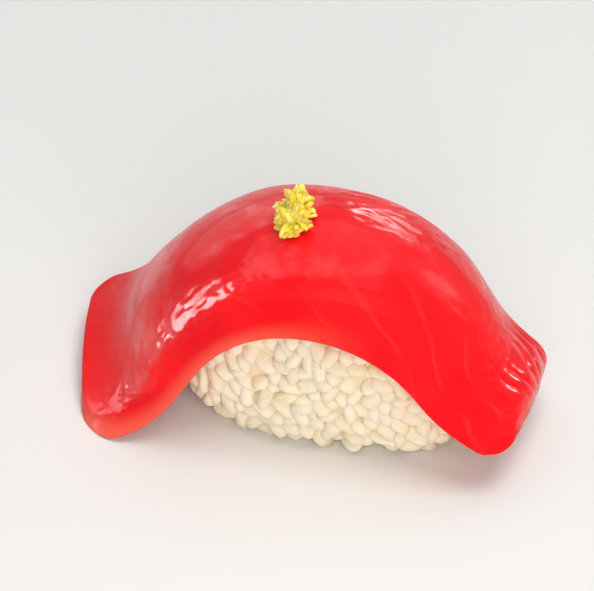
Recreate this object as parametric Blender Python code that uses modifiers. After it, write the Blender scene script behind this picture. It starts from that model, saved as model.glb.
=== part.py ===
"""Tuna nigiri: pressed sushi rice, a slice of raw tuna draped over it, and a pinch of yellow shreds.

+X runs along the slice, -Y is the long side where the rice shows, and +Z is up.
The origin is at the middle of the footprint, on the surface that the rice stands on.
"""

import math

import bmesh
import bpy
from mathutils import Vector, noise
from mathutils.bvhtree import BVHTree

MM = 0.001
GAP = 0.3 * MM  # air left between two pieces that touch

# The slice, measured flat along its underside.
SLICE_WIDTH = 29.5 * MM
SLICE_THICKNESS = 6.5 * MM
LEFT_BEVEL = 2.5 * MM  # the near side is cut at a slant: the top stops this much short of the underside
RIGHT_BEVEL = 8 * MM  # and this much at the other end
BEVEL_CHANGE = 60 * MM  # the one turns into the other over this length
FAR_BEVEL = 1.5 * MM
END_BEVEL = 1.5 * MM
LEFT_REACH = 45.5 * MM  # from the crest of the arch to the left end
RIGHT_REACH = 38.7 * MM
LEFT_SLANT = -1 * MM  # how much further the far corner reaches than the near one
RIGHT_SLANT = -4.5 * MM
NEAR_LEFT_CORNER = 6.5 * MM  # radii that round the corners off
FAR_LEFT_CORNER = 6 * MM
NEAR_RIGHT_CORNER = 5 * MM
FAR_RIGHT_CORNER = 3 * MM
SOFT_EDGE = 11 * MM  # the slice thins towards its near edge over this width
LEFT_THINNING = 0.2  # by this share on the left
RIGHT_THINNING = 0.45  # and this share on the right
THINNING_LENGTH = 24 * MM  # from the one to the other
LEFT_END_THINNING = 0.75  # share by which the left end is thinner than the middle, at its near corner
FAR_LEFT_SHARE = 0.35  # and how much of that its far corner has
RIGHT_END_THINNING = 0.35
END_THINNING_LENGTH = 22 * MM

# The arch that the slice takes over the rice.
LEFT_BEND = 23.5 * MM  # the slice bends evenly this far from the crest, then hangs straight
RIGHT_BEND = 21.5 * MM
LEFT_DROOP = math.radians(58.5)
RIGHT_DROOP = math.radians(51)
FLARE_LENGTH = 16 * MM  # the ends turn outwards again over this length
LEFT_FLARE = 0.6
RIGHT_FLARE = 0.45
CROWN_RADIUS = 26 * MM  # bend across the slice
LEFT_CROWN = 0.45  # share of that bend that is left at the end
RIGHT_CROWN = 0.95
LEFT_SPREAD = 1.16  # the left end lies wider than the middle
RIGHT_SPREAD = 0.9
SKEW = 3.5 * MM  # the far edge lies this much further left
FAR_SHOULDER = 6 * MM  # and it stands out this much more at the left end
SHOULDER_START = 12 * MM  # starting this far from the crest
WAVE_HEIGHT = 0.35 * MM
WAVE_LENGTH = 16 * MM
SLICE_ROWS = 34
SLICE_COLUMNS = 16
EDGE_CROWDING = 0.6  # how much closer the rows and columns lie near the edges
CUT_EDGE_ROUNDING = 1.5 * MM

# The rice ball.
RICE_PLACE = Vector((-0.5, 0.6)) * MM  # its middle, from the crest of the arch
RICE_LENGTH = 50 * MM
RICE_WIDTH = 24.5 * MM
RICE_HEIGHT = 34 * MM  # before the underside is pressed flat and the slice presses on the top
RICE_SINK = 4 * MM  # depth of the pressed-off underside
RICE_SQUARENESS = 2.5  # 2 is an ellipsoid
RICE_SEGMENTS = 56
RICE_RINGS = 30
GRAIN_BUMP = 0.9 * MM
GRAIN_SPACING = 4.2 * MM

# The pinch of shreds on top.
GARNISH_SIZE = Vector((5.2, 8.5, 9.8)) * MM
GARNISH_PLACE = Vector((-6, 0)) * MM  # from the crest of the arch
GARNISH_BUMP = 0.9 * MM
GARNISH_SPACING = 2.2 * MM
GARNISH_SINK = 0.28  # share of its height that is flattened where it lies

ARCH_STEP = 0.5 * MM
RAY_REACH = 0.2


def smooth(x):
    """0 below 0, 1 above 1, and a smooth rise between."""
    x = min(max(x, 0.0), 1.0)
    return x * x * (3 - 2 * x)


def lerp(a, b, share):
    return a + (b - a) * share


def end_share(s, length):
    """0 along the slice and 1 at its ends, rising over that length."""
    reach = LEFT_REACH if s < 0 else RIGHT_REACH
    return smooth((abs(s) - reach + length) / length)


def heading(s):
    """Slope of the arch at s, in radians: it climbs on the left and falls on the right."""
    if s < 0:
        return LEFT_DROOP * min(-s / LEFT_BEND, 1.0) * (1 - LEFT_FLARE * end_share(s, FLARE_LENGTH))
    return -RIGHT_DROOP * min(s / RIGHT_BEND, 1.0) * (1 - RIGHT_FLARE * end_share(s, FLARE_LENGTH))


def walk(direction, reach):
    """Points of the arch from its crest, one ARCH_STEP apart, as (x, z)."""
    x = z = 0.0
    points = [(x, z)]
    for i in range(math.ceil(reach / ARCH_STEP) + 1):
        slope = heading(direction * (i + 0.5) * ARCH_STEP)
        x += direction * ARCH_STEP * math.cos(slope)
        z += direction * ARCH_STEP * math.sin(slope)
        points.append((x, z))
    return points


ARCH = {-1: walk(-1, 1.4 * LEFT_REACH), 1: walk(1, 1.4 * RIGHT_REACH)}


def arch(s):
    """(x, z) of the middle line of the slice's underside at s, with the crest at (0, 0)."""
    points = ARCH[1 if s >= 0 else -1]
    place = abs(s) / ARCH_STEP
    i = min(int(place), len(points) - 2)
    (x0, z0), (x1, z1) = points[i], points[i + 1]
    return lerp(x0, x1, place - i), lerp(z0, z1, place - i)


def corner_cut(across, radius):
    """How far a rounded corner of that radius pulls the end back, at a distance across from the edge."""
    inside = max(radius - across, 0.0)
    return radius - math.sqrt(max(radius * radius - inside * inside, 0.0))


def near_bevel(s):
    """How far the top's near edge lies inside the underside's."""
    return lerp(LEFT_BEVEL, RIGHT_BEVEL, smooth(0.5 + s / BEVEL_CHANGE))


def fullness(s, t):
    """The slice's thickness at a place, as a share of its greatest."""
    softened = lerp(LEFT_THINNING, RIGHT_THINNING, smooth(0.5 + s / THINNING_LENGTH))
    from_edge = max(t + SLICE_WIDTH / 2 - near_bevel(s), 0.0)
    near = max(1 - from_edge / SOFT_EDGE, 0.0) ** 2
    tapered = RIGHT_END_THINNING
    if s < 0:
        tapered = LEFT_END_THINNING * lerp(1.0, FAR_LEFT_SHARE, t / SLICE_WIDTH + 0.5)
    return (1 - softened * near) * (1 - tapered * end_share(s, END_THINNING_LENGTH))


def outline(u, v, bevel):
    """A place on the flat slice as (s, t): u runs from 0 at the left end to 1, v from the near edge.

    The bevel is 0 at the underside and 1 at the top.
    """
    u, v = lerp(u, smooth(u), EDGE_CROWDING), lerp(v, smooth(v), EDGE_CROWDING)
    from_near, from_far = v * SLICE_WIDTH, (1 - v) * SLICE_WIDTH
    left = -LEFT_REACH - LEFT_SLANT * (v - 0.5)
    left += corner_cut(from_near, NEAR_LEFT_CORNER) + corner_cut(from_far, FAR_LEFT_CORNER)
    right = RIGHT_REACH - RIGHT_SLANT * (v - 0.5)
    right -= corner_cut(from_near, NEAR_RIGHT_CORNER) + corner_cut(from_far, FAR_RIGHT_CORNER)
    s = lerp(left + bevel * END_BEVEL, right - bevel * END_BEVEL, u)
    t = lerp(bevel * near_bevel(s), SLICE_WIDTH - bevel * FAR_BEVEL, v) - SLICE_WIDTH / 2
    return s, t


def drape(s, t, height=0.0):
    """Where a point of the flat slice lies on the rice; height is how far it is above the underside."""
    x, z = arch(s)
    slope = heading(s)
    ends = end_share(s, FLARE_LENGTH)
    spread = lerp(1.0, LEFT_SPREAD if s < 0 else RIGHT_SPREAD, ends)
    radius = CROWN_RADIUS / lerp(1.0, LEFT_CROWN if s < 0 else RIGHT_CROWN, ends)
    angle = t * spread / radius
    up = (radius + height) * math.cos(angle) - radius
    across = (radius + height) * math.sin(angle)
    at_shoulder = smooth((-s - SHOULDER_START) / (LEFT_REACH - SHOULDER_START))
    shoulder = (SKEW + FAR_SHOULDER * at_shoulder) * (t / SLICE_WIDTH + 0.5)
    wave = WAVE_HEIGHT * noise.noise(Vector((s, t, 0.0)) / WAVE_LENGTH)
    up += wave
    return Vector(
        (
            x - up * math.sin(slope) - shoulder,
            across,
            z + up * math.cos(slope),
        )
    )


def new_object(name, mesh_data, collection, material):
    made = bpy.data.objects.new(name, mesh_data)
    made.data.materials.append(material)
    collection.objects.link(made)
    return made


def mesh_from(bm, name):
    data = bpy.data.meshes.new(name)
    bm.to_mesh(data)
    bm.free()
    return data


def face_outwards(bm):
    bmesh.ops.recalc_face_normals(bm, faces=bm.faces[:])
    if bm.calc_volume(signed=True) < 0:
        bmesh.ops.reverse_faces(bm, faces=bm.faces[:])


def food_material(name, colour, roughness):
    material = bpy.data.materials.new(name)
    material.use_nodes = True
    shader = material.node_tree.nodes["Principled BSDF"]
    shader.inputs["Base Color"].default_value = (*colour, 1.0)
    shader.inputs["Roughness"].default_value = roughness
    material.diffuse_color = (*colour, 1.0)
    return material


def make_slice(collection):
    """An underside and a top joined by slanting cut faces, all bent over the rice."""
    bm = bmesh.new()
    cut_edges = bm.edges.layers.float.new("bevel_weight_edge")
    rims = []
    for bevel in (0.0, 1.0):
        grid = bmesh.ops.create_grid(bm, x_segments=SLICE_ROWS, y_segments=SLICE_COLUMNS, size=0.5)
        for vert in grid["verts"]:
            s, t = outline(vert.co.x + 0.5, vert.co.y + 0.5, bevel)
            vert.co = drape(s, t, bevel * SLICE_THICKNESS * fullness(s, t))
        rims += {e for vert in grid["verts"] for e in vert.link_edges if e.is_boundary}
    for edge in rims:
        edge[cut_edges] = 1.0
    bmesh.ops.bridge_loops(bm, edges=rims)
    face_outwards(bm)
    data = mesh_from(bm, "tuna")
    tuna = new_object("tuna", data, collection, food_material("tuna", (0.72, 0.03, 0.04), 0.3))

    rounding = tuna.modifiers.new("cut edges", "BEVEL")
    rounding.width = CUT_EDGE_ROUNDING
    rounding.segments = 3
    rounding.limit_method = "WEIGHT"
    return tuna


def tree_of(obj):
    """A tree for casting rays at the object as its modifiers leave it."""
    bpy.context.view_layer.update()
    return BVHTree.FromObject(obj, bpy.context.evaluated_depsgraph_get())


def rounded_block(direction, size, squareness):
    """The point in that direction on a block of that size with bulging sides."""
    reach = sum(abs(2 * d / full) ** squareness for d, full in zip(direction, size, strict=True))
    return direction * reach ** (-1 / squareness)


def make_rice(collection, tuna, floor):
    """A lumpy rounded block, pressed flat below and pressed to the slice's underside above."""
    bm = bmesh.new()
    bmesh.ops.create_uvsphere(bm, u_segments=RICE_SEGMENTS, v_segments=RICE_RINGS, radius=1.0)
    size = Vector((RICE_LENGTH, RICE_WIDTH, RICE_HEIGHT))
    middle = Vector((*RICE_PLACE, floor - RICE_SINK + RICE_HEIGHT / 2))
    for vert in bm.verts:
        outward = vert.co.normalized()
        block = rounded_block(outward * size.x, size, RICE_SQUARENESS)
        bump = GRAIN_BUMP * noise.noise(block / GRAIN_SPACING)
        vert.co = middle + block + outward * bump
    bmesh.ops.bisect_plane(
        bm,
        geom=bm.verts[:] + bm.edges[:] + bm.faces[:],
        plane_co=(0, 0, floor),
        plane_no=(0, 0, -1),
        clear_outer=True,
    )
    bmesh.ops.holes_fill(bm, edges=[e for e in bm.edges if e.is_boundary])

    slice_tree = tree_of(tuna)
    for vert in bm.verts:
        start = Vector((vert.co.x, vert.co.y, floor - RAY_REACH))
        hit = slice_tree.ray_cast(start, Vector((0, 0, 1)))[0]
        if hit is not None:
            vert.co.z = min(vert.co.z, hit.z - 2 * GAP)
    face_outwards(bm)
    data = mesh_from(bm, "rice")
    return new_object("rice", data, collection, food_material("rice", (0.85, 0.78, 0.66), 0.5))


def make_garnish(collection, tuna):
    """A small lumpy heap that lies on the slice."""
    bm = bmesh.new()
    bmesh.ops.create_icosphere(bm, subdivisions=4, radius=0.5)
    slice_tree = tree_of(tuna)
    above = Vector((GARNISH_PLACE.x, GARNISH_PLACE.y, RAY_REACH))
    seat = slice_tree.ray_cast(above, Vector((0, 0, -1)))[0]
    middle = seat + Vector((0, 0, GARNISH_SIZE.z * (0.5 - GARNISH_SINK)))
    for vert in bm.verts:
        outward = vert.co.normalized()
        place = vert.co * GARNISH_SIZE
        bump = GARNISH_BUMP * noise.noise(place / GARNISH_SPACING)
        vert.co = middle + place + outward * bump
        under = Vector((vert.co.x, vert.co.y, RAY_REACH))
        hit = slice_tree.ray_cast(under, Vector((0, 0, -1)))[0]
        vert.co.z = max(vert.co.z, hit.z + GAP)
    data = mesh_from(bm, "garnish")
    return new_object("garnish", data, collection, food_material("garnish", (0.85, 0.72, 0.1), 0.5))


def corners(objects):
    """Lowest and highest corner of the objects as their modifiers leave them."""
    bpy.context.view_layer.update()
    graph = bpy.context.evaluated_depsgraph_get()
    low, high = Vector((math.inf,) * 3), Vector((-math.inf,) * 3)
    for obj in objects:
        shown = obj.evaluated_get(graph)
        for vert in shown.data.vertices:
            place = shown.matrix_world @ vert.co
            low = Vector(map(min, low, place))
            high = Vector(map(max, high, place))
    return low, high


def main():
    for obj in list(bpy.data.objects):
        bpy.data.objects.remove(obj)
    nigiri = bpy.data.collections.new("nigiri")
    bpy.context.scene.collection.children.link(nigiri)

    tuna = make_slice(nigiri)
    floor = corners([tuna])[0].z
    rice = make_rice(nigiri, tuna, floor)
    garnish = make_garnish(nigiri, tuna)

    pieces = [tuna, rice, garnish]
    low, high = corners(pieces)
    origin = Vector(((low.x + high.x) / 2, (low.y + high.y) / 2, floor))
    for piece in pieces:
        piece.location = -origin
        piece.data.shade_smooth()


main()
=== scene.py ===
"""The looks of one tuna nigiri: rice grains over a core, a wet draped slice and a tuft of yellow shreds.

Everything is in metres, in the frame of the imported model. +X runs along the slice, -Y is the side where
the rice shows, and +Z is up.
"""

import math

import bmesh
import bpy
from mathutils import Matrix, Vector, noise
from mathutils.bvhtree import BVHTree


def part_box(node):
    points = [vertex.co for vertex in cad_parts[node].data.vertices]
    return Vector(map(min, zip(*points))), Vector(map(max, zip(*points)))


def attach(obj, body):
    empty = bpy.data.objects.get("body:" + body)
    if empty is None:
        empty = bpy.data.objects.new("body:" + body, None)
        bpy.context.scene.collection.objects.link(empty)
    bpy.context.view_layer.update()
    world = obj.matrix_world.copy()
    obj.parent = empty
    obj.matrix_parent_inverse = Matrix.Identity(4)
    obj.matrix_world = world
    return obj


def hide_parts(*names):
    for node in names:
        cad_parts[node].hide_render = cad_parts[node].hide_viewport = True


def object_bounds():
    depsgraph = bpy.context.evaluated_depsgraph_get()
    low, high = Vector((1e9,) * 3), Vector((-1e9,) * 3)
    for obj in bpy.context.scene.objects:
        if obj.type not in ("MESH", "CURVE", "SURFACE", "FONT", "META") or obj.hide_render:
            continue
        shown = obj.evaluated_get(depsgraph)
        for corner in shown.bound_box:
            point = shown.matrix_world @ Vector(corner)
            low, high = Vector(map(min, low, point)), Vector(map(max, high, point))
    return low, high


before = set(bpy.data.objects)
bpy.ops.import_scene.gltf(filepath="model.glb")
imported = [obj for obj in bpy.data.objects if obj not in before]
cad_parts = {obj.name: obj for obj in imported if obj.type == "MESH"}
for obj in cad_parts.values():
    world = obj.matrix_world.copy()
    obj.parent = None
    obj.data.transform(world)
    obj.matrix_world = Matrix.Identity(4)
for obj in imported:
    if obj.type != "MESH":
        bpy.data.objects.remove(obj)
CAD_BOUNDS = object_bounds()

MM = 0.001
RAY_REACH = 0.2  # longer than anything here, for rays that look for the slice

# The slice, measured flat along its underside: s from the crest of the arch, t from its middle line.
SLICE_WIDTH = 29.5 * MM
SLICE_THICKNESS = 6.5 * MM
LEFT_BEVEL = 2.5 * MM  # the near side is cut at a slant: the top stops this much short of the underside
RIGHT_BEVEL = 8 * MM
BEVEL_CHANGE = 60 * MM
FAR_BEVEL = 1.5 * MM
END_BEVEL = 1.5 * MM
LEFT_REACH = 45.5 * MM
RIGHT_REACH = 38.7 * MM
LEFT_SLANT = -1 * MM
RIGHT_SLANT = -4.5 * MM
NEAR_LEFT_CORNER = 6.5 * MM
FAR_LEFT_CORNER = 6 * MM
NEAR_RIGHT_CORNER = 5 * MM
FAR_RIGHT_CORNER = 3 * MM
SOFT_EDGE = 11 * MM  # the slice thins towards its near edge over this width
LEFT_THINNING = 0.2
RIGHT_THINNING = 0.45
THINNING_LENGTH = 24 * MM
LEFT_END_THINNING = 0.75  # at the near corner
FAR_LEFT_SHARE = 0.35  # how much of that the far corner has
RIGHT_END_THINNING = 0.35
END_THINNING_LENGTH = 22 * MM

# The arch that it takes over the rice.
LEFT_BEND = 23.5 * MM
RIGHT_BEND = 21.5 * MM
LEFT_DROOP = math.radians(58.5)
RIGHT_DROOP = math.radians(51)
FLARE_LENGTH = 16 * MM
LEFT_FLARE = 0.6
RIGHT_FLARE = 0.45
CROWN_RADIUS = 26 * MM
LEFT_CROWN = 0.45
RIGHT_CROWN = 0.95
LEFT_SPREAD = 1.16
RIGHT_SPREAD = 0.9
SKEW = 3.5 * MM
FAR_SHOULDER = 6 * MM
SHOULDER_START = 12 * MM
WAVE_HEIGHT = 0.35 * MM
WAVE_LENGTH = 16 * MM
ARCH_STEP = 0.25 * MM

# How finely the slice is modelled, and how its edges and skin look.
SLICE_ROWS = 260
SLICE_COLUMNS = 100
SLICE_LAYERS = 18
EDGE_CROWDING = 0.45  # how much closer the cuts lie near the edges
CRISP_LIMIT = 0.7  # moves the place where the near ridge loses its crispness
CRISP_ROUNDING = 0.9 * MM  # of the top's edges on the left
SOFT_ROUNDING = 3.0 * MM  # and from the crest rightwards; less than half the thickness
UNDER_ROUNDING = 0.9 * MM
CRINKLE_HEIGHT = 0.08 * MM
CRINKLE_LENGTH = 1.7 * MM
CRINKLE_SLANT = Matrix(((0.8, -0.45, 0), (0.25, 1, 0), (0, 0, 0.5)))
FINER_CRINKLES = 2.1  # how much finer the second crinkles are, which have half the height
SMOOTH_SKIN = 0.1  # share of the crinkles that is left elsewhere
CRINKLE_BAND = 4 * MM  # the crinkles lie about this close to the crisp near edge
BAND_MIDDLE = 0.3  # in such widths from the edge
BAND_REACH = 1.5  # where the crinkles end, to either side of that
CRINKLE_NARROWING = 22 * MM  # and closer still over this length at the left end
NARROWEST_BAND = 0.35
PATCH_STRENGTH = 0.6
PATCH_REACH = 1.6  # where a patch ends, in its sizes
CRINKLED_PATCHES = (  # middle (s, t) and size of patches on the top that are crinkled too
    (Vector((9, 6.5)) * MM, Vector((13, 5)) * MM),
    (Vector((24, -1)) * MM, Vector((6, 6)) * MM),
)
SWELL_HEIGHT = 0.12 * MM  # low waves all over the top
SWELL_LENGTH = 7 * MM
FURROW_DEPTH = 0.32 * MM  # lengthwise furrows at the right end
FURROW_PITCH = 2.6 * MM
FURROW_LENGTH = 13 * MM
FURROW_STEEPNESS = 1.4  # they reach their depth before the end
FURROW_SWAY = 1.4  # how far they stray sideways, in pitches
SWAY_LENGTH = 9 * MM
SWAY_WIDTH = 5 * MM
FURROW_SHARPNESS = 0.6  # under 1, the furrows are narrow and the ridges between them wide
FURROW_LEVEL = 0.7  # about the mean of that profile
UNDERSIDE_RELIEF = 0.3  # share of all this on the underside

# The rice.
GRAIN_LENGTH = 5.6 * MM
GRAIN_WIDTH = 2.5 * MM
GRAIN_SPACING = 2.0 * MM
GRAIN_SINK = 1.25 * MM  # the core lies this far inside the rice's outline
GRAIN_UNEVENNESS = 0.6 * MM
GRAIN_TILT = 0.6
GRAIN_SMALLEST = (0.6, 0.85, 0.8)
GRAIN_LARGEST = (1.1, 1.15, 1.15)
GRAIN_BLUNTNESS = 1.8  # widens the grain towards its ends
GRAIN_BEND = 0.5
CLEAR_OF_SLICE = 0.25 * MM
CLEAR_OF_BOARD = 0.02 * MM

# The shreds on top.
SHRED_LENGTH = 2.1 * MM
SHRED_SPACING = 0.62 * MM
SHRED_SINK = 1.4 * MM
SHRED_UNEVENNESS = 0.6 * MM
SHRED_TILT = 1.2
SHRED_SMALLEST = (0.55, 0.55, 0.5)
SHRED_LARGEST = (0.95, 1.0, 1.1)
SHRED_THICKNESS = 0.3  # radius of a shred, as a share of its length
TUFT_SAG = 1.7  # above 1, the tuft is a mound with a wide foot

DENSEST = 1e7  # copies in a square metre before the spacing thins them out

# The camera and the lamps.
CAMERA_AROUND = math.radians(16)
CAMERA_UP = math.radians(38)
CAMERA_DISTANCE = 0.5
CAMERA_FIELD = math.radians(9.9)
WORLD_GLOW = 0.1
BOARD_SIZE = 1.5


def smooth(x):
    """0 below 0, 1 above 1, and a smooth rise between."""
    x = min(max(x, 0.0), 1.0)
    return x * x * (3 - 2 * x)


def lerp(a, b, share):
    return a + (b - a) * share


# ---------------------------------------------------------------- the draped slice


def end_share(s, length):
    """0 along the slice and 1 at its ends, rising over that length."""
    reach = LEFT_REACH if s < 0 else RIGHT_REACH
    return smooth((abs(s) - reach + length) / length)


def heading(s):
    """Slope of the arch at s: it climbs on the left and falls on the right."""
    if s < 0:
        return LEFT_DROOP * min(-s / LEFT_BEND, 1.0) * (1 - LEFT_FLARE * end_share(s, FLARE_LENGTH))
    return -RIGHT_DROOP * min(s / RIGHT_BEND, 1.0) * (1 - RIGHT_FLARE * end_share(s, FLARE_LENGTH))


def walk(direction, reach):
    """Points of the arch from its crest, one ARCH_STEP apart, as (x, z)."""
    x = z = 0.0
    points = [(x, z)]
    for i in range(math.ceil(reach / ARCH_STEP) + 1):
        slope = heading(direction * (i + 0.5) * ARCH_STEP)
        x += direction * ARCH_STEP * math.cos(slope)
        z += direction * ARCH_STEP * math.sin(slope)
        points.append((x, z))
    return points


ARCH = {-1: walk(-1, 1.4 * LEFT_REACH), 1: walk(1, 1.4 * RIGHT_REACH)}


def arch(s):
    """(x, z) of the middle line of the slice's underside at s."""
    points = ARCH[1 if s >= 0 else -1]
    place = abs(s) / ARCH_STEP
    i = min(int(place), len(points) - 2)
    (x0, z0), (x1, z1) = points[i], points[i + 1]
    return lerp(x0, x1, place - i), lerp(z0, z1, place - i)


def corner_cut(across, radius):
    """How far a rounded corner of that radius pulls the end back, at a distance across from the edge."""
    inside = max(radius - across, 0.0)
    return radius - math.sqrt(max(radius * radius - inside * inside, 0.0))


def near_bevel(s):
    """How far the top's near edge lies inside the underside's."""
    return lerp(LEFT_BEVEL, RIGHT_BEVEL, smooth(0.5 + s / BEVEL_CHANGE))


def fullness(s, t):
    """The slice's thickness at a place, as a share of its greatest."""
    softened = lerp(LEFT_THINNING, RIGHT_THINNING, smooth(0.5 + s / THINNING_LENGTH))
    from_edge = max(t + SLICE_WIDTH / 2 - near_bevel(s), 0.0)
    near = max(1 - from_edge / SOFT_EDGE, 0.0) ** 2
    tapered = RIGHT_END_THINNING
    if s < 0:
        tapered = LEFT_END_THINNING * lerp(1.0, FAR_LEFT_SHARE, t / SLICE_WIDTH + 0.5)
    return (1 - softened * near) * (1 - tapered * end_share(s, END_THINNING_LENGTH))


def outline(u, v, bevel):
    """The flat slice: u runs from 0 at the left end to 1, v from 0 at the near edge to 1. Gives (s, t)."""
    from_near, from_far = v * SLICE_WIDTH, (1 - v) * SLICE_WIDTH
    left = -LEFT_REACH - LEFT_SLANT * (v - 0.5)
    left += corner_cut(from_near, NEAR_LEFT_CORNER) + corner_cut(from_far, FAR_LEFT_CORNER)
    right = RIGHT_REACH - RIGHT_SLANT * (v - 0.5)
    right -= corner_cut(from_near, NEAR_RIGHT_CORNER) + corner_cut(from_far, FAR_RIGHT_CORNER)
    s = lerp(left + bevel * END_BEVEL, right - bevel * END_BEVEL, u)
    t = lerp(bevel * near_bevel(s), SLICE_WIDTH - bevel * FAR_BEVEL, v) - SLICE_WIDTH / 2
    return s, t


def drape(s, t, height):
    """Where a point of the flat slice lies on the rice; height is how far it is above the underside."""
    x, z = arch(s)
    slope = heading(s)
    ends = end_share(s, FLARE_LENGTH)
    spread = lerp(1.0, LEFT_SPREAD if s < 0 else RIGHT_SPREAD, ends)
    radius = CROWN_RADIUS / lerp(1.0, LEFT_CROWN if s < 0 else RIGHT_CROWN, ends)
    angle = t * spread / radius
    up = (radius + height) * math.cos(angle) - radius
    across = (radius + height) * math.sin(angle)
    at_shoulder = smooth((-s - SHOULDER_START) / (LEFT_REACH - SHOULDER_START))
    shoulder = (SKEW + FAR_SHOULDER * at_shoulder) * (t / SLICE_WIDTH + 0.5)
    up += WAVE_HEIGHT * noise.noise(Vector((s, t, 0.0)) / WAVE_LENGTH)
    return Vector((x - up * math.sin(slope) - shoulder, across, z + up * math.cos(slope)))


def crispness(s):
    """1 on the left, where the top's near edge is a crisp ridge, falling to 0 just past the crest."""
    return 1 - smooth(CRISP_LIMIT + s / THINNING_LENGTH)


def rounded(place, half, radius):
    """A point of a block's skin, drawn in onto edges of that radius."""
    inner = Vector([min(max(p, radius - h), h - radius) for p, h in zip(place, half, strict=True)])
    out = place - inner
    return inner + out * (radius / out.length) if out.length > radius else place


def ridged(place):
    """Noise with narrow crests, from about -1 to 1."""
    return 1 - 3 * abs(noise.noise(place))


def crinkled(s, t):
    """0 where the skin is smooth, up to 1 along the crisp near edge and less in the patches on the top."""
    narrowed = lerp(NARROWEST_BAND, 1.0, smooth((s + LEFT_REACH) / CRINKLE_NARROWING))
    from_edge = (t + SLICE_WIDTH / 2 - near_bevel(s)) / (CRINKLE_BAND * narrowed)
    band = crispness(s) * smooth(BAND_REACH - abs(from_edge - BAND_MIDDLE))
    for middle, size in CRINKLED_PATCHES:
        away = Vector(((s - middle.x) / size.x, (t - middle.y) / size.y)).length
        band = max(band, PATCH_STRENGTH * smooth(PATCH_REACH - away))
    return band


def skin_relief(s, t, height):
    """Small unevenness of the wet skin, most of it where it is crinkled and at the right end."""
    share_of_thickness = height / (SLICE_THICKNESS * fullness(s, t))
    top = smooth(share_of_thickness * 2 - 0.8)  # full from nine tenths of the thickness upwards

    place = CRINKLE_SLANT @ Vector((s, t, height)) / CRINKLE_LENGTH
    crinkle = ridged(place) + 0.5 * ridged(place * FINER_CRINKLES + Vector((5, 0, 0)))
    relief = CRINKLE_HEIGHT * (SMOOTH_SKIN + crinkled(s, t)) * crinkle
    relief += SWELL_HEIGHT * noise.noise(Vector((s, t, SWELL_LENGTH)) / SWELL_LENGTH)

    right_end = smooth((s - RIGHT_REACH + FURROW_LENGTH) / FURROW_LENGTH * FURROW_STEEPNESS)
    sway = FURROW_SWAY * noise.noise(Vector((s / SWAY_LENGTH, t / SWAY_WIDTH, 3)))
    furrow = abs(math.sin(math.pi * (t / FURROW_PITCH + sway)))
    relief += FURROW_DEPTH * right_end * (furrow**FURROW_SHARPNESS - FURROW_LEVEL)
    return relief * lerp(UNDERSIDE_RELIEF, 1.0, top)


def even_cuts(bm, axis, cuts):
    """Cuts the block across that axis into equal lengths."""
    edges = [e for e in bm.edges if abs((e.verts[0].co - e.verts[1].co)[axis]) > 1e-6]
    bmesh.ops.subdivide_edges(bm, edges=edges, cuts=cuts, use_grid_fill=True)


def block_for_slice():
    """A unit block with a fine even grid on its skin."""
    bm = bmesh.new()
    bmesh.ops.create_cube(bm, size=2)
    for axis, cuts in ((2, SLICE_LAYERS), (1, SLICE_COLUMNS), (0, SLICE_ROWS)):
        even_cuts(bm, axis, cuts)
    return bm


def crowd(x):
    """Draws an even -1 to 1 spacing closer together near both ends."""
    return lerp(x, math.copysign(2 * smooth(0.5 + 0.5 * abs(x)) - 1, x), EDGE_CROWDING)


def make_slice(material):
    """The slice, with two attributes for its material: its place when flat, and how crinkled it is."""
    bm = block_for_slice()
    flat_place = bm.verts.layers.float_vector.new("flat")
    wrinkled = bm.verts.layers.float.new("crinkled")
    half = Vector((LEFT_REACH + RIGHT_REACH, SLICE_WIDTH, SLICE_THICKNESS)) / 2
    for vert in bm.verts:
        even = vert.co.copy()
        block = Vector((crowd(even.x) * half.x, crowd(even.y) * half.y, even.z * half.z))
        top_rounding = lerp(SOFT_ROUNDING, CRISP_ROUNDING, crispness(block.x))
        block = rounded(block, half, top_rounding if even.z > 0 else UNDER_ROUNDING)
        bevel = block.z / half.z / 2 + 0.5
        s, t = outline(block.x / half.x / 2 + 0.5, block.y / half.y / 2 + 0.5, bevel)
        height = bevel * SLICE_THICKNESS * fullness(s, t)
        vert[flat_place] = Vector((s, t, height))
        vert[wrinkled] = crinkled(s, t)
        vert.co = drape(s, t, height)
    bmesh.ops.recalc_face_normals(bm, faces=bm.faces[:])
    if bm.calc_volume(signed=True) < 0:
        bmesh.ops.reverse_faces(bm, faces=bm.faces[:])
    bm.normal_update()
    moves = [(vert, vert.normal * skin_relief(*vert[flat_place])) for vert in bm.verts]
    for vert, move in moves:
        vert.co += move
    return settle(bm, "tuna_slice", "tuna", material)


# ---------------------------------------------------------------- putting pieces in place


def bounds_of(places):
    low = Vector([min(p[i] for p in places) for i in range(3)])
    high = Vector([max(p[i] for p in places) for i in range(3)])
    return low, high


def new_piece(name, mesh, material):
    piece = bpy.data.objects.new(name, mesh)
    mesh.materials.clear()
    mesh.materials.append(material)
    mesh.shade_smooth()
    bpy.context.scene.collection.objects.link(piece)
    return piece


def settle(bm, name, node, material):
    """Centres the finished mesh in the node's box, stands it on the box's floor and makes a piece of it."""
    low, high = bounds_of([v.co for v in bm.verts])
    cad_low, cad_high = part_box(node)
    middle = (cad_low + cad_high - low - high) / 2
    bmesh.ops.translate(bm, verts=bm.verts[:], vec=(middle.x, middle.y, cad_low.z - low.z))
    mesh = bpy.data.meshes.new(name)
    bm.to_mesh(mesh)
    bm.free()
    return new_piece(name, mesh, material)


def merged_copy(node):
    """The node's solid as one closed surface."""
    bm = bmesh.new()
    bm.from_mesh(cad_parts[node].data)
    bmesh.ops.remove_doubles(bm, verts=bm.verts[:], dist=0.01 * MM)
    bm.normal_update()
    return bm


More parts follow.
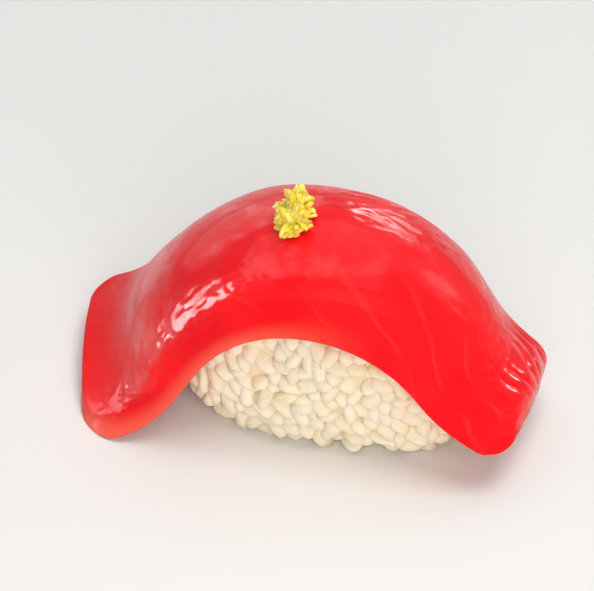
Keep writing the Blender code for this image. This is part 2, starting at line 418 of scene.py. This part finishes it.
def sunk_core(node, name, depth, material):
    """The node's solid drawn in on all sides, for smaller things to lie on."""
    bm = merged_copy(node)
    moves = [(vert, vert.normal * -depth) for vert in bm.verts]
    for vert, move in moves:
        vert.co += move
    every_way = {"use_axis_x": True, "use_axis_y": True, "use_axis_z": True}
    for _ in range(2):
        bmesh.ops.smooth_vert(bm, verts=bm.verts[:], factor=0.5, **every_way)
    mesh = bpy.data.meshes.new(name)
    bm.to_mesh(mesh)
    bm.free()
    return new_piece(name, mesh, material)


# ---------------------------------------------------------------- node trees


class Socket:
    """An output of a node, for use in sums."""

    def __init__(self, tree, link):
        self.tree, self.link = tree, link

    def sum(self, operation, first, second=0.0):
        return self.tree.add("ShaderNodeMath", {"operation": operation}, {0: first, 1: second})

    def __add__(self, other):
        return self.sum("ADD", self, other)

    __radd__ = __add__

    def __sub__(self, other):
        return self.sum("SUBTRACT", self, other)

    def __rsub__(self, other):
        return self.sum("SUBTRACT", other, self)

    def __mul__(self, other):
        return self.sum("MULTIPLY", self, other)

    __rmul__ = __mul__


class NodeTree:
    """A material's or a modifier's nodes."""

    def __init__(self, nodes):
        self.nodes = nodes

    def add(self, kind, settings=None, sockets=None, out=0):
        """Adds a node, applies its settings first and then its sockets, and gives one of its outputs."""
        node = self.nodes.nodes.new(kind)
        for name, value in (settings or {}).items():
            setattr(node, name, value)
        for name, value in (sockets or {}).items():
            if isinstance(value, Socket):
                self.nodes.links.new(value.link, node.inputs[name])
            else:
                node.inputs[name].default_value = value
        return Socket(self, node.outputs[out]) if node.outputs else node


class Finish(NodeTree):
    """A material with a Principled surface, whose constants are given by name."""

    def __init__(self, name, **constants):
        self.material = bpy.data.materials.new(name)
        self.material.use_nodes = True
        super().__init__(self.material.node_tree)
        self.shader = self.nodes.nodes["Principled BSDF"]
        for socket, value in constants.items():
            self.shader.inputs[socket.replace("_", " ")].default_value = value

    def feed(self, name, value):
        """Links what varies over the surface to one of the shader's sockets."""
        self.nodes.links.new(value.link, self.shader.inputs[name])

    def noise(self, place, scale, detail=2.0, rough=0.5):
        sockets = {"Vector": place, "Scale": scale, "Detail": detail, "Roughness": rough}
        return self.add("ShaderNodeTexNoise", {}, sockets)

    def between(self, value, low, high):
        """0 where the value is under low, 1 where it is over high, smooth between."""
        sockets = {"Value": value, "From Min": low, "From Max": high}
        return self.add("ShaderNodeMapRange", {"interpolation_type": "SMOOTHSTEP"}, sockets)

    def mix(self, share, first, second):
        """A colour between two colours."""
        return self.add("ShaderNodeMix", {"data_type": "RGBA"}, {0: share, 6: first, 7: second}, out=2)

    def attribute(self, name, out="Vector"):
        return self.add("ShaderNodeAttribute", {"attribute_name": name}, out=out)

    def parts_of(self, vector):
        """The three numbers of a vector."""
        split = self.add("ShaderNodeSeparateXYZ", {}, {0: vector}).link.node
        return [Socket(self, output) for output in split.outputs]

    def bump(self, height, depth, strength=1.0):
        sockets = {"Height": height, "Distance": depth, "Strength": strength}
        self.feed("Normal", self.add("ShaderNodeBump", {}, sockets))


def rgb(red, green, blue):
    return (red, green, blue, 1.0)


def wet_tuna():
    finish = Finish(
        "wet tuna",
        Subsurface_Weight=0.12,
        Subsurface_Radius=(1.0, 0.1, 0.08),
        Subsurface_Scale=0.002,
        Coat_Roughness=0.13,
        Specular_IOR_Level=0.08,
    )
    flat = finish.attribute("flat")
    wrinkled = finish.attribute("crinkled", out="Fac")
    s, t, height = finish.parts_of(flat)
    deep_red, bright_red = rgb(0.80, 0.005, 0.011), rgb(0.93, 0.009, 0.013)
    # The orange here is a painted glow, for light that shines through the thin flesh near the underside.
    sinew_red, shine_through_orange = rgb(0.93, 0.075, 0.055), rgb(0.94, 0.17, 0.1)

    # Flesh: cloudy red with faint slanting sinews, and a painted glow of orange where the left of the near
    # edge is thin, standing in for light shining through the thin flesh.
    broad = finish.between(finish.noise(flat, 75.0, 3.0), 0.35, 0.65)
    colour = finish.mix(broad, deep_red, bright_red)
    sway = finish.noise(flat, 60.0, 3.0)
    bands = finish.add("ShaderNodeMath", {"operation": "SINE"}, {0: s * 520.0 + t * 1100.0 + sway * 11.0})
    sinew = finish.between(bands, 0.86, 1.0) * finish.between(finish.noise(flat, 130.0), 0.42, 0.62)
    colour = finish.mix(sinew * 0.16, colour, sinew_red)
    # Painted glow: orange low on the slice, left of the crest, where light would shine through the thin
    # flesh.
    thin_edge_glow = finish.between(height, 2.6 * MM, 0.2 * MM) * finish.between(s, 14 * MM, -14 * MM)
    finish.feed("Base Color", finish.mix(thin_edge_glow * 0.6, colour, shine_through_orange))

    # Wetness: smeared on the top as far as the near ridge, less of it at the left end and right of the crest.
    widening = finish.between(s, -BEVEL_CHANGE / 2, BEVEL_CHANGE / 2)
    from_ridge = t + SLICE_WIDTH / 2 - (LEFT_BEVEL + widening * (RIGHT_BEVEL - LEFT_BEVEL))
    skin = finish.between(from_ridge, -1.0 * MM, 0.6 * MM)
    smears = finish.noise(flat, 240.0, 4.0, 0.6)
    finish.feed("Roughness", 0.34 + 0.25 * finish.between(smears, 0.35, 0.7))
    drier = finish.between(s, -LEFT_REACH + 22 * MM, -LEFT_REACH + 8 * MM) * (1 - wrinkled)
    satin = finish.between(s, 6 * MM, 12 * MM) * finish.between(s, 30 * MM, 25 * MM)
    satin = satin * finish.between(t, 7 * MM, 3 * MM)
    tip = finish.between(s, -34 * MM, -41 * MM)
    coat = skin * (0.3 + 0.6 * finish.between(smears, 0.42, 0.62))
    finish.feed("Coat Weight", coat * (1 - 0.88 * drier) * (1 - 0.93 * satin) * (1 - 0.8 * tip))

    fine = finish.noise(flat, 1100.0, 2.0, 0.5)
    grain = finish.noise(flat, 420.0, 3.0, 0.55)
    finish.bump(grain * 0.5 + fine * (0.08 + 0.7 * wrinkled), 0.12 * MM, 0.6)
    return finish.material


def moist_rice():
    finish = Finish(
        "moist rice",
        Subsurface_Weight=0.2,
        Subsurface_Radius=(1.0, 0.7, 0.45),
        Subsurface_Scale=0.002,
        Coat_Roughness=0.2,
    )
    tint = finish.attribute("tint", out="Fac")
    place = finish.add("ShaderNodeTexCoord", out="Object")
    cream, ivory, milky = rgb(0.92, 0.77, 0.53), rgb(0.94, 0.81, 0.60), rgb(0.94, 0.84, 0.68)
    cloudy = finish.noise(place, 420.0, 2.0)
    colour = finish.mix(tint, cream, ivory)
    finish.feed("Base Color", finish.mix(finish.between(cloudy, 0.45, 0.7) * 0.5, colour, milky))
    finish.feed("Roughness", 0.38 + 0.2 * cloudy)
    finish.feed("Coat Weight", 0.25 * tint)
    return finish.material


def rice_inside():
    finish = Finish("rice inside", Roughness=0.6)
    place = finish.add("ShaderNodeTexCoord", out="Object")
    spots = finish.noise(place, 500.0, 2.0)
    finish.feed("Base Color", finish.mix(spots, rgb(0.80, 0.66, 0.45), rgb(0.88, 0.75, 0.53)))
    return finish.material


def yellow_shreds():
    finish = Finish(
        "yellow shreds",
        Subsurface_Weight=0.15,
        Subsurface_Radius=(1.0, 0.7, 0.1),
        Subsurface_Scale=0.001,
    )
    tint = finish.attribute("tint", out="Fac")
    place = finish.add("ShaderNodeTexCoord", out="Object")
    golden, lemon, amber = rgb(0.84, 0.66, 0.03), rgb(0.95, 0.85, 0.18), rgb(0.85, 0.48, 0.05)
    patches = finish.noise(place, 900.0, 2.0)
    colour = finish.mix(tint, golden, lemon)
    finish.feed("Base Color", finish.mix(finish.between(patches, 0.5, 0.75) * 0.5, colour, amber))
    finish.feed("Roughness", 0.35 + 0.2 * patches)
    return finish.material


def pale_board():
    finish = Finish("pale board", Roughness=0.75)
    place = finish.add("ShaderNodeTexCoord", out="Object")
    shade = finish.noise(place, 4.0)
    finish.feed("Base Color", finish.mix(shade, rgb(0.78, 0.77, 0.75), rgb(0.82, 0.81, 0.79)))
    return finish.material


# ---------------------------------------------------------------- grains and shreds


class Scatter(NodeTree):
    """Geometry nodes that lay many copies of one small shape over a core."""

    def __init__(self, name, sizes, material, seed):
        super().__init__(bpy.data.node_groups.new(name, "GeometryNodeTree"))
        face = self.nodes.interface
        face.new_socket("Core", in_out="INPUT", socket_type="NodeSocketGeometry")
        self.sizes = dict(sizes)
        for label in sizes:
            face.new_socket(label, in_out="INPUT", socket_type="NodeSocketFloat")
        face.new_socket("Laid", in_out="OUTPUT", socket_type="NodeSocketGeometry")
        self.entry = self.nodes.nodes.new("NodeGroupInput")
        self.material = material
        self.seed = seed

    def size(self, label):
        return Socket(self, self.entry.outputs[label])

    def core(self):
        return Socket(self, self.entry.outputs["Core"])

    def random(self, kind, low, high, seed):
        """A random number or vector for each copy."""
        first, out = (0, 0) if kind == "FLOAT_VECTOR" else (2, 1)
        sockets = {first: low, first + 1: high, "Seed": self.seed + seed}
        return self.add("FunctionNodeRandomValue", {"data_type": kind}, sockets, out=out)

    def combine(self, x, y, z):
        return self.add("ShaderNodeCombineXYZ", {}, {0: x, 1: y, 2: z})

    def uneven(self, laid, pitch):
        """Makes the copies differ, with one noise that runs through them all."""
        swirl = self.add("ShaderNodeTexNoise", {}, {"Scale": 1 / pitch, "Detail": 1.0}, out=1)
        centred = self.add("ShaderNodeVectorMath", {"operation": "SUBTRACT"}, {0: swirl, 1: (0.5, 0.5, 0.5)})
        amount = {0: centred, "Scale": self.size("Unevenness")}
        offset = self.add("ShaderNodeVectorMath", {"operation": "SCALE"}, amount)
        return self.add("GeometryNodeSetPosition", {}, {"Geometry": laid, "Offset": offset})

    def lay(self, shape, tilt, smallest, largest, pitch):
        """Copies of the shape, spun at random about the core's normal, tilted, sized and tinted."""
        spacing = {"Distance Min": self.size("Spacing"), "Density Max": DENSEST, "Seed": self.seed}
        points = self.add(
            "GeometryNodeDistributePointsOnFaces",
            {"distribute_method": "POISSON"},
            {"Mesh": self.core(), **spacing},
        )
        facing = Socket(self, points.link.node.outputs["Rotation"])
        turn = self.random("FLOAT_VECTOR", (-tilt, -tilt, 0.0), (tilt, tilt, 2 * math.pi), 1)
        turned = self.add("FunctionNodeRotateRotation", {"rotation_space": "LOCAL"}, {0: facing, 1: turn})
        scale = self.random("FLOAT_VECTOR", smallest, largest, 2)
        copies = self.add(
            "GeometryNodeInstanceOnPoints",
            {},
            {"Points": points, "Instance": shape, "Rotation": turned, "Scale": scale},
        )
        tint = self.random("FLOAT", 0.0, 1.0, 3)
        tinted = self.add(
            "GeometryNodeStoreNamedAttribute",
            {"data_type": "FLOAT", "domain": "INSTANCE"},
            {"Geometry": copies, "Name": "tint", "Value": tint},
        )
        real = self.add("GeometryNodeRealizeInstances", {}, {"Geometry": tinted})
        shaped = self.uneven(real, pitch)
        finished = self.add("GeometryNodeSetMaterial", {}, {"Geometry": shaped, "Material": self.material})
        end = self.nodes.nodes.new("NodeGroupOutput")
        self.nodes.links.new(finished.link, end.inputs["Laid"])

    def over(self, core, name):
        """Runs the nodes on the core and gives the result as a plain piece."""
        modifier = core.modifiers.new(name, "NODES")
        modifier.node_group = self.nodes
        for item in self.nodes.interface.items_tree:
            if item.in_out == "INPUT" and item.name in self.sizes:
                modifier[item.identifier] = self.sizes[item.name]
        shown = core.evaluated_get(bpy.context.evaluated_depsgraph_get())
        mesh = bpy.data.meshes.new_from_object(shown)
        core.modifiers.remove(modifier)
        mesh.name = name
        return new_piece(name, mesh, self.material)


def grain_shape(scatter):
    """One plump grain, blunt at both ends and slightly bent, lying along X."""
    ball = scatter.add("GeometryNodeMeshUVSphere", {}, {"Segments": 8, "Rings": 7, "Radius": 0.5})
    long, wide = scatter.size("Grain length"), scatter.size("Grain width")
    place = scatter.add("GeometryNodeInputPosition")
    split = scatter.add("ShaderNodeSeparateXYZ", {}, {0: place}).link.node
    x, y, z = (Socket(scatter, output) for output in split.outputs)
    plump = wide * (1 + x * x * GRAIN_BLUNTNESS)
    blunt = scatter.combine(x * long, y * plump, z * plump - x * x * wide * GRAIN_BEND)
    return scatter.add("GeometryNodeSetPosition", {}, {"Geometry": ball, "Position": blunt})


def lay_grains(core, material):
    sizes = {
        "Spacing": GRAIN_SPACING,
        "Grain length": GRAIN_LENGTH,
        "Grain width": GRAIN_WIDTH,
        "Unevenness": GRAIN_UNEVENNESS,
    }
    scatter = Scatter("rice grains", sizes, material, seed=11)
    scatter.lay(grain_shape(scatter), GRAIN_TILT, GRAIN_SMALLEST, GRAIN_LARGEST, GRAIN_SPACING)
    return scatter.over(core, "rice_grains")


def shred_shape(scatter):
    """One thin curl of about unit length that stands up from the core and bends over."""
    path = scatter.add(
        "GeometryNodeCurvePrimitiveBezierSegment",
        {},
        {
            "Resolution": 5,
            "Start": (0.0, 0.0, -0.2),
            "Start Handle": (0.0, 0.0, 0.4),
            "End Handle": (0.2, 0.1, 0.8),
            "End": (0.5, 0.2, 0.75),
        },
    )
    round_profile = {"Resolution": 6, "Radius": SHRED_THICKNESS}
    profile = scatter.add("GeometryNodeCurvePrimitiveCircle", {}, round_profile)
    closed_tube = {"Curve": path, "Profile Curve": profile, "Fill Caps": True}
    tube = scatter.add("GeometryNodeCurveToMesh", {}, closed_tube)
    length = scatter.size("Shred length")
    to_size = {"Geometry": tube, "Scale": scatter.combine(length, length, length)}
    return scatter.add("GeometryNodeTransform", {}, to_size)


def lay_shreds(core, material):
    sizes = {"Spacing": SHRED_SPACING, "Shred length": SHRED_LENGTH, "Unevenness": SHRED_UNEVENNESS}
    scatter = Scatter("shreds", sizes, material, seed=5)
    scatter.lay(shred_shape(scatter), SHRED_TILT, SHRED_SMALLEST, SHRED_LARGEST, SHRED_SPACING)
    return scatter.over(core, "yellow_shreds")


def press(piece, slice_piece):
    """Keeps the grains above the board and under the slice."""
    tree = BVHTree.FromObject(slice_piece, bpy.context.evaluated_depsgraph_get())
    for vert in piece.data.vertices:
        start = Vector((vert.co.x, vert.co.y, -RAY_REACH))
        hit = tree.ray_cast(start, Vector((0, 0, 1)))[0]
        if hit is not None and hit.z - CLEAR_OF_SLICE < vert.co.z < hit.z + SLICE_THICKNESS:
            vert.co.z = hit.z - CLEAR_OF_SLICE
        vert.co.z = max(vert.co.z, CLEAR_OF_BOARD)


def seat(pieces, slice_piece):
    """Sags the pieces into a mound, whose underside follows the slice; the last piece is the outermost."""
    tree = BVHTree.FromObject(slice_piece, bpy.context.evaluated_depsgraph_get())
    heights = [vert.co.z for vert in pieces[-1].data.vertices]
    lowest, highest = min(heights), max(heights)
    for vert in (vert for piece in pieces for vert in piece.data.vertices):
        hit = tree.ray_cast(Vector((vert.co.x, vert.co.y, RAY_REACH)), Vector((0, 0, -1)))[0]
        share = max(vert.co.z - lowest, 0.0) / (highest - lowest)
        vert.co.z = lerp(hit.z, highest, share**TUFT_SAG)


# ---------------------------------------------------------------- board, lamps and camera


def make_board(material):
    bm = bmesh.new()
    bmesh.ops.create_grid(bm, x_segments=1, y_segments=1, size=BOARD_SIZE)
    mesh = bpy.data.meshes.new("board")
    bm.to_mesh(mesh)
    bm.free()
    board = new_piece("board", mesh, material)


def aim(obj, place, target):
    direction = target - place
    turn = direction.to_track_quat("-Z", "Y").to_matrix().to_4x4()
    obj.matrix_world = Matrix.Translation(place) @ turn


def soft_lamp(name, place, target, size, power, lights=True, shines=True):
    """A white area lamp, which lights what is round it, shines in wet surfaces, or both."""
    lamp = bpy.data.lights.new(name, "AREA")
    lamp.shape = "ELLIPSE"
    lamp.size, lamp.size_y = size
    lamp.energy = power
    holder = bpy.data.objects.new(name, lamp)
    bpy.context.scene.collection.objects.link(holder)
    holder.visible_diffuse = lights
    holder.visible_glossy = shines
    aim(holder, place, target)


def light(target):
    """Three lamps light the food, and the overhead one shines in its wet skin too; the others only shine."""
    soft_lamp("key", Vector((0.2, -0.1, 0.8)), target, (0.5, 0.5), 3.2, shines=False)
    soft_lamp("front fill", Vector((0.2, -0.5, 0.3)), target, (0.5, 0.5), 2.6, shines=False)
    soft_lamp("overhead", Vector((-0.1, 0.35, 0.85)), target, (1.5, 1.1), 4.0)
    soft_lamp("back glow", Vector((-0.6, 0.75, 0.25)), target, (0.9, 0.45), 1.1, lights=False)
    soft_lamp("back window", Vector((0.07, 0.6, 0.2)), target, (0.3, 0.1), 0.7, lights=False)
    soft_lamp("left window", Vector((-0.5, -0.1, 0.16)), target, (0.26, 0.5), 3.8, lights=False)
    soft_lamp("right window", Vector((0.42, 0.36, 0.3)), target, (0.14, 0.3), 1.6, lights=False)

    world = bpy.data.worlds.new("studio")
    world.use_nodes = True
    background = world.node_tree.nodes["Background"]
    background.inputs["Color"].default_value = rgb(1, 1, 1)
    background.inputs["Strength"].default_value = WORLD_GLOW
    bpy.context.scene.world = world
    bpy.context.scene.view_settings.view_transform = "Standard"


def place_camera(target):
    lens = bpy.data.cameras.new("camera")
    lens.sensor_fit = "HORIZONTAL"
    lens.angle = CAMERA_FIELD
    camera = bpy.data.objects.new("camera", lens)
    bpy.context.scene.collection.objects.link(camera)
    level = CAMERA_DISTANCE * math.cos(CAMERA_UP)
    sideways, forward = level * math.sin(CAMERA_AROUND), -level * math.cos(CAMERA_AROUND)
    offset = Vector((sideways, forward, CAMERA_DISTANCE * math.sin(CAMERA_UP)))
    aim(camera, target + offset, target)
    bpy.context.scene.camera = camera


def main():
    rice, inside, shreds = moist_rice(), rice_inside(), yellow_shreds()
    slice_piece = make_slice(wet_tuna())

    rice_core = sunk_core("rice", "rice_core", GRAIN_SINK, inside)
    grains = lay_grains(rice_core, rice)
    press(grains, slice_piece)

    garnish_core = sunk_core("garnish", "garnish_core", SHRED_SINK, shreds)
    tuft = lay_shreds(garnish_core, shreds)
    seat((garnish_core, tuft), slice_piece)

    for piece, node in (
        (slice_piece, "tuna"),
        (rice_core, "rice"),
        (grains, "rice"),
        (garnish_core, "garnish"),
        (tuft, "garnish"),
    ):
        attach(piece, "root")
        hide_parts(node)

    make_board(pale_board())
    middle = (Vector(CAD_BOUNDS[0]) + Vector(CAD_BOUNDS[1])) / 2
    light(middle)
    place_camera(middle)


main()
